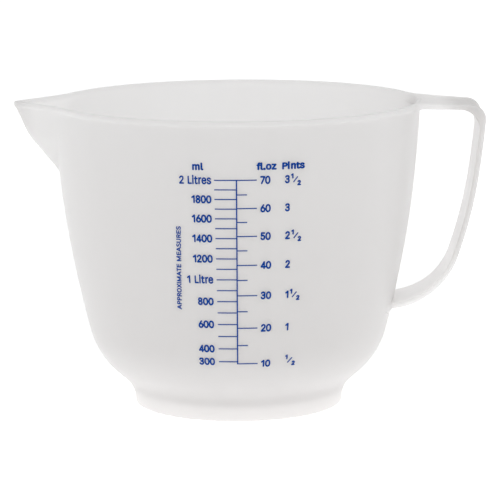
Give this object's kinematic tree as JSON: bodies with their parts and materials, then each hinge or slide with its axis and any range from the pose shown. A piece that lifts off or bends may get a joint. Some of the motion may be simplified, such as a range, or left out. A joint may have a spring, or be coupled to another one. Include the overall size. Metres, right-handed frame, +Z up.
{
  "type": "measuring jug",
  "caption": "Milky translucent plastic measuring jug with a V spout, an open strap handle, a foot ring and a printed volume scale.",
  "frame": {"origin": "centre of the foot ring, on the surface the jug stands on", "axes": "+Z up along the bowl's axis, +X towards the handle and -X towards the spout, the printed scale faces -Y"},
  "size_m": [0.2267, 0.1782, 0.148],
  "materials": {
    "natural_polypropylene": "satin, milky translucent",
    "blue_ink": "printed ink"
  },
  "bodies": {
    "root": {"bowl": "natural_polypropylene", "bowl_floor": "natural_polypropylene", "foot_ring": "natural_polypropylene", "rim_lip": "natural_polypropylene", "pouring_spout": "natural_polypropylene", "handle": "natural_polypropylene", "scale_spine": "blue_ink", "millilitre_ticks": "blue_ink", "fluid_ounce_ticks": "blue_ink", "millilitre_figures": "blue_ink", "fluid_ounce_figures": "blue_ink", "pint_figures": "blue_ink", "unit_headings": "blue_ink", "side_caption": "blue_ink"}
  },
  "joints": []
}
